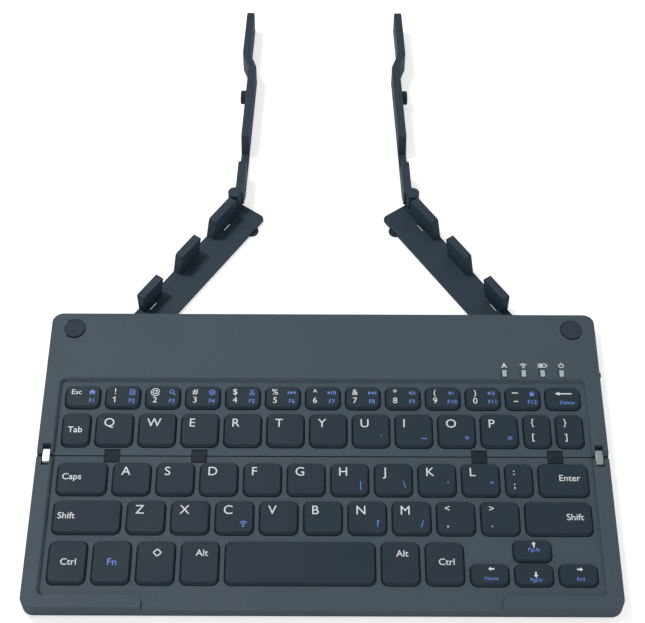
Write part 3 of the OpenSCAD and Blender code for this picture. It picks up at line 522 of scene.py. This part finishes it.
class Print:
    """What one ink prints on one body's keys."""

    def __init__(self):
        self.bm = bmesh.new()

    def word(self, text, x, y, z, height, bold=0.004, align="centre"):
        """A word whose capitals are height mm high, about the point x, y (metres)."""
        mesh = written(text, bold)
        xs = [v.co.x for v in mesh.vertices]
        mid = {"centre": (min(xs) + max(xs)) / 2, "left": min(xs), "right": max(xs)}[align]
        scale = height * MM / CAP
        mesh.transform(Matrix.Translation((x, y, z)) @ Matrix.Scale(scale, 4)
                       @ Matrix.Translation((-mid, -CAP / 2, 0)))
        self.bm.from_mesh(mesh)
        if text == "1":
            # The pen writes a bare stroke for a one, so the one gets its flag
            left = x - (mid - min(xs)) * scale
            self.bar(0, 0.38 * height, -0.24 * height, 0.22 * height, 0.14 * height, left, y, z)
        bpy.data.meshes.remove(mesh)

    def shape(self, points, x, y, z, scale=1.0):
        """A filled outline given in mm about the point x, y."""
        verts = [self.bm.verts.new((x + px * scale * MM, y + py * scale * MM, z))
                 for px, py in points]
        face = self.bm.faces.new(verts)
        face.normal_update()
        if face.normal.z < 0:
            face.normal_flip()

    def arc(self, x, y, z, radius, width, start=0, end=360, steps=20):
        """Part of a ring, in mm and degrees."""
        inner = radius - width
        a = [math.radians(start + (end - start) * i / steps) for i in range(steps + 1)]
        for i in range(steps):
            self.shape([(inner * math.cos(a[i]), inner * math.sin(a[i])),
                        (radius * math.cos(a[i]), radius * math.sin(a[i])),
                        (radius * math.cos(a[i + 1]), radius * math.sin(a[i + 1])),
                        (inner * math.cos(a[i + 1]), inner * math.sin(a[i + 1]))], x, y, z)

    def bar(self, x0, y0, x1, y1, width, x, y, z):
        """A straight stroke between two points, in mm about x, y."""
        along = Vector((x1 - x0, y1 - y0)).normalized()
        side = Vector((-along.y, along.x)) * width / 2
        self.shape([(x0 + side.x, y0 + side.y), (x0 - side.x, y0 - side.y),
                    (x1 - side.x, y1 - side.y), (x1 + side.x, y1 + side.y)], x, y, z)

    def finish(self, name, body, ink):
        bmesh.ops.remove_doubles(self.bm, verts=self.bm.verts, dist=0.0005 * MM)
        raised = bmesh.ops.extrude_face_region(self.bm, geom=self.bm.faces[:])
        verts = [v for v in raised["geom"] if isinstance(v, bmesh.types.BMVert)]
        bmesh.ops.translate(self.bm, verts=verts, vec=(0, 0, INK))
        bmesh.ops.recalc_face_normals(self.bm, faces=self.bm.faces)
        return piece(name, self.bm, body, ink, crease=20)


def spot(key, from_left, from_rear):
    """A place on a key, in mm from its left and rear edges."""
    low, high = key
    return low.x + from_left * MM, high.y - from_rear * MM, high.z - INK / 2


prints = {}


def ink(node, colour):
    return prints.setdefault((node, colour), Print())


def both_cases(node, key, upper, lower, left=4.1, rears=(3.4, 7.7), height=3.0):
    ink(node, "white").word(upper, *spot(key, left, rears[0]), height)
    ink(node, "white").word(lower, *spot(key, left, rears[1]), height)


def arrow(node, key, left, rear, turn, length=2.6, head=1.9, shaft=0.7):
    """A solid arrow that points up, then turned by turn degrees."""
    c, s = math.cos(math.radians(turn)), math.sin(math.radians(turn))
    h = length / 2
    outline = [(-head / 2, h - head * 0.62), (-shaft / 2, h - head * 0.62), (-shaft / 2, -h),
               (shaft / 2, -h), (shaft / 2, h - head * 0.62), (head / 2, h - head * 0.62), (0, h)]
    ink(node, "white").shape([(px * c - py * s, px * s + py * c) for px, py in outline],
                             *spot(key, left, rear))


# The number row's second signs, one small drawing each
def sign_home(p, at):
    p.shape([(-1.6, -0.1), (0, 1.3), (1.6, -0.1), (1.1, -0.1), (1.1, -1.2), (0.35, -1.2),
             (0.35, -0.4), (-0.35, -0.4), (-0.35, -1.2), (-1.1, -1.2), (-1.1, -0.1)], *at)


def sign_page(p, at):
    for x0, y0, x1, y1 in [(-1.1, 1.3, 1.1, 1.3), (-1.1, -1.3, 1.1, -1.3), (-1.1, 1.3, -1.1, -1.3),
                           (1.1, 1.3, 1.1, -1.3), (-0.6, 0.3, 0.6, 0.3), (-0.6, -0.4, 0.6, -0.4)]:
        p.bar(x0, y0, x1, y1, 0.34, *at)


def sign_search(p, at):
    x, y, z = at
    p.arc(x - 0.2 * MM, y + 0.25 * MM, z, 1.1, 0.36)
    p.bar(0.5, -0.5, 1.4, -1.4, 0.45, x, y, z)


def sign_globe(p, at):
    x, y, z = at
    p.arc(x, y, z, 1.45, 0.34)
    p.bar(-1.2, 0, 1.2, 0, 0.3, x, y, z)
    p.bar(0, -1.2, 0, 1.2, 0.3, x, y, z)


def sign_cut(p, at):
    x, y, z = at
    p.bar(-0.8, 1.4, 0.5, -0.6, 0.36, x, y, z)
    p.bar(0.8, 1.4, -0.5, -0.6, 0.36, x, y, z)
    p.arc(x - 0.75 * MM, y - 0.95 * MM, z, 0.6, 0.26, steps=12)
    p.arc(x + 0.75 * MM, y - 0.95 * MM, z, 0.6, 0.26, steps=12)


def triangle(p, at, dx, size, way):
    p.shape([(dx - way * size, size), (dx - way * size, -size), (dx + way * size * 0.7, 0)], *at)


def sign_previous(p, at):
    p.bar(-1.75, 0.85, -1.75, -0.85, 0.4, *at)
    triangle(p, at, -0.85, 0.85, -1)
    triangle(p, at, 0.75, 0.85, -1)


def sign_play(p, at):
    triangle(p, at, -1.15, 0.85, 1)
    p.bar(-0.45, -0.9, 0.15, 0.9, 0.3, *at)
    p.bar(0.75, 0.85, 0.75, -0.85, 0.42, *at)
    p.bar(1.5, 0.85, 1.5, -0.85, 0.42, *at)


def sign_next(p, at):
    p.bar(1.75, 0.85, 1.75, -0.85, 0.4, *at)
    triangle(p, at, 0.85, 0.85, 1)
    triangle(p, at, -0.75, 0.85, 1)


def speaker(p, at, dx):
    p.shape([(dx - 0.9, 0.4), (dx - 0.9, -0.4), (dx - 0.4, -0.4), (dx + 0.3, -1.1),
             (dx + 0.3, 1.1), (dx - 0.4, 0.4)], *at)


def sign_mute(p, at):
    speaker(p, at, -0.5)
    p.bar(0.3, 0.8, 1.5, -0.8, 0.36, *at)
    p.bar(0.3, -0.8, 1.5, 0.8, 0.36, *at)


def sign_quieter(p, at):
    x, y, z = at
    speaker(p, at, -0.6)
    p.arc(x - 0.1 * MM, y, z, 1.0, 0.32, -50, 50, 8)


def sign_louder(p, at):
    x, y, z = at
    speaker(p, at, -0.9)
    p.arc(x - 0.4 * MM, y, z, 1.0, 0.32, -50, 50, 8)
    p.arc(x - 0.4 * MM, y, z, 1.7, 0.32, -50, 50, 8)


def sign_lock(p, at):
    x, y, z = at
    p.shape([(-0.95, 0.2), (0.95, 0.2), (0.95, -1.3), (-0.95, -1.3)], *at)
    p.arc(x, y + 0.2 * MM, z, 0.8, 0.34, 0, 180, 10)


ESCAPE = key_boxes["key_escape"][0]
NUMBERS = key_boxes["number_keys"]
ink("key_escape", "white").word("Esc", *spot(ESCAPE, 4.9, 3.4), 2.5)
sign_home(ink("key_escape", "blue"), spot(ESCAPE, 11.9, 3.5))
ink("key_escape", "blue").word("F1", *spot(ESCAPE, 11.9, 8.0), FUNCTION_WORD, 0.008)
SECOND = [sign_page, sign_search, sign_globe, sign_cut, sign_previous, sign_play, sign_next,
          sign_mute, sign_quieter, sign_louder, sign_lock]
for i, key in enumerate(NUMBERS):
    if i < 10:
        both_cases("number_keys", key, "!@#$%^&*()"[i], "1234567890"[i], 4.3, (3.1, 7.4), 2.9)
    else:
        blank = ink("number_keys", "white")
        blank.bar(-1.4, 0, 1.4, 0, 0.5, *spot(key, 4.4, 3.3))
        blank.bar(-1.0, 0, 1.0, 0, 0.5, *spot(key, 4.6, 7.7))
    SECOND[i](ink("number_keys", "blue"), spot(key, 11.9, 3.5))
    ink("number_keys", "blue").word(f"F{i + 2}", *spot(key, 11.9, 8.0), FUNCTION_WORD, 0.008)

BACKSPACE = key_boxes["key_backspace"][0]
ink("key_backspace", "white").shape(
    [(-3.8, 0), (-1.7, 0.95), (-1.7, 0.3), (3.8, 0.3), (3.8, -0.3), (-1.7, -0.3), (-1.7, -0.95)],
    *spot(BACKSPACE, 8.1, 3.6))
ink("key_backspace", "blue").word("Delete", *spot(BACKSPACE, 9.6, 8.2), 1.65, 0.008)

ink("key_tab", "white").word("Tab", *spot(key_boxes["key_tab"][0], 5.8, 8.7), WORD, 0.01)
UPPER = key_boxes["upper_letter_keys"]
for key, letter in zip(UPPER, "QWERTYUIOP"):
    ink("upper_letter_keys", "white").word(letter, *spot(key, 3.7, 5.0), LETTER, 0.0, "left")
for key, mark in zip(UPPER[6:10], "`~+="):
    ink("upper_letter_keys", "blue").word(mark, *spot(key, 12.7, 12.4), MARK)
for key, pair in zip(UPPER[10:], ("{[", "}]")):
    both_cases("upper_letter_keys", key, pair[0], pair[1], 4.1, (4.2, 11.6), MARK)

ink("key_caps_lock", "white").word("Caps", *spot(key_boxes["key_caps_lock"][0], 2.4, 7.2),
                                   WORD, 0.004, "left")
HOME = key_boxes["home_letter_keys"]
for key, letter in zip(HOME, "ASDFGHJKL"):
    ink("home_letter_keys", "white").word(letter, *spot(key, 3.7, 4.4), LETTER, 0.0, "left")
for key, mark in zip(HOME[5:9], "|\\'\""):
    ink("home_letter_keys", "blue").word(mark, *spot(key, 13.0, 10.7), MARK)
both_cases("home_letter_keys", HOME[9], ":", ";", 3.9, (4.2, 10.7), 3.2)
ENTER = key_boxes["key_enter"][0]
ink("key_enter", "white").word("Enter", *spot(ENTER, (ENTER[1].x - ENTER[0].x) / MM - 3.6, 7.2),
                               WORD, 0.004, "right")

ink("key_shift_left", "white").word("Shift", *spot(key_boxes["key_shift_left"][0], 2.2, 7.6),
                                    WORD, 0.004, "left")
LOWER = key_boxes["lower_letter_keys"]
for key, letter in zip(LOWER, "ZXCVBNM"):
    ink("lower_letter_keys", "white").word(letter, *spot(key, 3.7, 4.6), LETTER, 0.0, "left")
for key, mark in zip(LOWER[5:7], "?/"):
    ink("lower_letter_keys", "blue").word(mark, *spot(key, 12.8, 11.0), 3.2)
for key, pair in zip(LOWER[7:9], ("<,", ">.")):
    both_cases("lower_letter_keys", key, pair[0], pair[1], 4.7, (3.6, 10.9), MARK)
# Wireless pairing: a dot and two waves
link_at = spot(LOWER[2], 12.2, 11.2)
waves = ink("lower_letter_keys", "blue")
waves.arc(link_at[0], link_at[1] - 1.1 * MM, link_at[2], 0.5, 0.499, steps=12)
waves.arc(link_at[0], link_at[1] - 1.1 * MM, link_at[2], 1.45, 0.4, 45, 135, 8)
waves.arc(link_at[0], link_at[1] - 1.1 * MM, link_at[2], 2.35, 0.4, 45, 135, 8)
SHIFT = key_boxes["key_shift_right"][0]
ink("key_shift_right", "white").word(
    "Shift", *spot(SHIFT, (SHIFT[1].x - SHIFT[0].x) / MM - 3.7, 7.6), WORD, 0.004, "right")

CONTROL = key_boxes["key_control_left"][0]
ink("key_control_left", "white").word("Ctrl", *spot(CONTROL, 8.7, 9.9), WORD)
ink("key_function", "blue").word("Fn", *spot(key_boxes["key_function"][0], 8.4, 9.9), 3.1)
MODIFIERS = key_boxes["modifier_keys"]
# A plain diamond for the system key
diamond = ink("modifier_keys", "white")
for ax, ay, bx, by in [(-1.7, 0, 0, 1.7), (0, 1.7, 1.7, 0), (1.7, 0, 0, -1.7), (0, -1.7, -1.7, 0)]:
    diamond.bar(ax, ay, bx, by, 0.5, *spot(MODIFIERS[0], 8.7, 5.6))
for key in (MODIFIERS[1], MODIFIERS[2]):
    ink("modifier_keys", "white").word("Alt", *spot(key, 8.9, 5.6), WORD)
ink("modifier_keys", "white").word("Ctrl", *spot(MODIFIERS[3], 8.9, 9.4), WORD)

# Each arrow key: its word, the arrow's turn, and how far each is from the key's rear edge
ARROWS = (("key_left", "Home", 90, (2.6, 6.9)), ("key_up", "PgUp", 0, (2.3, 4.6)),
          ("key_down", "PgDn", 180, (5.2, 7.5)), ("key_right", "End", -90, (2.7, 7.0)))
for node, word, turn, rears in ARROWS:
    key = key_boxes[node][0]
    arrow(node, key, 8.8, rears[0], turn)
    ink(node, "blue").word(word, *spot(key, 8.8, rears[1]), ARROW_WORD, 0.004)

INKS = {"white": WHITE_INK, "blue": BLUE_INK}
for (node, colour), printed in prints.items():
    printed.finish(f"{node}_{colour}_print", node + "_set", INKS[colour])

# Signs above the indicator windows
signs = Print()
for i, (low, high) in enumerate(sorted(islands("light_windows"), key=lambda b: b[0].x)):
    x = (low.x + high.x) / 2
    y = high.y + 2.4 * MM
    z = RIM_Z - INK / 2
    if i == 0:
        signs.word("A", x, y, z, 2.4, 0.02)
    elif i == 1:
        signs.arc(x, y - 1.1 * MM, z, 0.45, 0.449, steps=12)
        signs.arc(x, y - 1.1 * MM, z, 1.35, 0.4, 45, 135, 8)
        signs.arc(x, y - 1.1 * MM, z, 2.2, 0.4, 45, 135, 8)
    elif i == 2:
        for ax, ay, bx, by in [(-1.8, 0.9, 1.6, 0.9), (-1.8, -0.9, 1.6, -0.9),
                               (-1.8, 1.05, -1.8, -1.05), (1.6, 1.05, 1.6, -1.05),
                               (2.1, 0.5, 2.1, -0.5)]:
            signs.bar(ax, ay, bx, by, 0.34, x, y, z)
        signs.shape([(-1.3, 0.5), (0.3, 0.5), (0.3, -0.5), (-1.3, -0.5)], x, y, z)
    else:
        signs.arc(x, y, z, 1.25, 0.36, 125, 415, 22)
        signs.bar(0, 0.2, 0, 1.55, 0.4, x, y, z)
signs.finish("indicator_signs_print", "back_half", WHITE_INK)
bpy.data.objects.remove(pen_object)

# ---------------------------------------------------------------- hinge, stand and small parts
eased_node("hinge_end_links", "fold_links", STEEL, 0.3 * MM, segments=3)
eased_node("hinge_link_blocks", "fold_links", ACETAL, 0.2 * MM, whole=False, segments=2)


def stand_arm(node, body, side):
    """Arm: the teeth's upper corners rounder than its other edges."""
    bm = welded(node)
    through = Vector((side * math.sin(ARM_ANGLE), math.cos(ARM_ANGLE), 0))
    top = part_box(node)[1].z
    ease(bm, TOOTH_ROUND, lambda a, b: at_height(top)(a, b)
         and abs((b - a).normalized().dot(through)) > 0.95, 4)
    ease(bm, ARM_EDGE, segments=2, angle=40)
    return piece(node + "_finished", bm, body, NYLON, (node,))


def stand_leg(node, body):
    """Leg: rounded bends and end, then a small round on every other edge."""
    bm = welded(node)

    def upright(a, b):
        return abs((b - a).normalized().z) > 0.98 and abs(b.z - a.z) > 4 * MM

    ease(bm, LEG_BEND, upright, 3)
    ease(bm, LEG_INNER_BEND, upright, 3, inward=True)
    ease(bm, LEG_EDGE, segments=2, angle=40)
    return piece(node + "_finished", bm, body, NYLON, (node,))


stand_arm("left_arm", "left_arm_set", -1)
stand_arm("right_arm", "right_arm_set", 1)
stand_leg("left_leg", "left_leg_set")
stand_leg("right_leg", "right_leg_set")
eased_node("left_leg_button", "left_leg_set", RUBBER, 0.4 * MM, segments=3)
eased_node("right_leg_button", "right_leg_set", RUBBER, 0.4 * MM, segments=3)
eased_node("left_arm_foot", "left_arm_set", RUBBER, 0.25 * MM, segments=2)
eased_node("right_arm_foot", "right_arm_set", RUBBER, 0.25 * MM, segments=2)
eased_node("upper_feet", "back_half", RUBBER, 0.25 * MM, segments=3)
eased_node("lower_feet", "front_half", RUBBER, 0.25 * MM, segments=3)
eased_node("corner_pads", "back_half", PAD, 0.15 * MM, segments=2)
eased_node("switch_slider", "power_switch", ACETAL, 0.1 * MM, segments=2)
eased_node("charge_socket", "back_half", STEEL, 0.08 * MM, segments=2)
eased_node("light_windows", "back_half", GUIDE, 0.1 * MM, segments=2)

# The membranes take the film painted black for the painted shade in the key wells
KEPT = {
    "upper_key_plate": SHEET, "lower_key_plate": SHEET, "upper_membrane": FILM_PAINTED_WELL_SHADE,
    "lower_membrane": FILM_PAINTED_WELL_SHADE, "upper_domes": NATURAL, "lower_domes": NATURAL,
    "upper_scissors": NATURAL, "lower_scissors": NATURAL, "circuit_board": BOARD,
    "battery": POUCH, "indicator_lamps": NATURAL, "switch_body": ACETAL,
    "upper_screws": STEEL, "lower_screws": STEEL, "upper_hinge_pins": STEEL,
    "lower_hinge_pins": STEEL, "left_arm_pin": STEEL, "right_arm_pin": STEEL,
    "left_leg_pin": STEEL, "right_leg_pin": STEEL,
}
for node, material in KEPT.items():
    mesh = nodes[node].data
    mesh.materials.clear()
    mesh.materials.append(material)
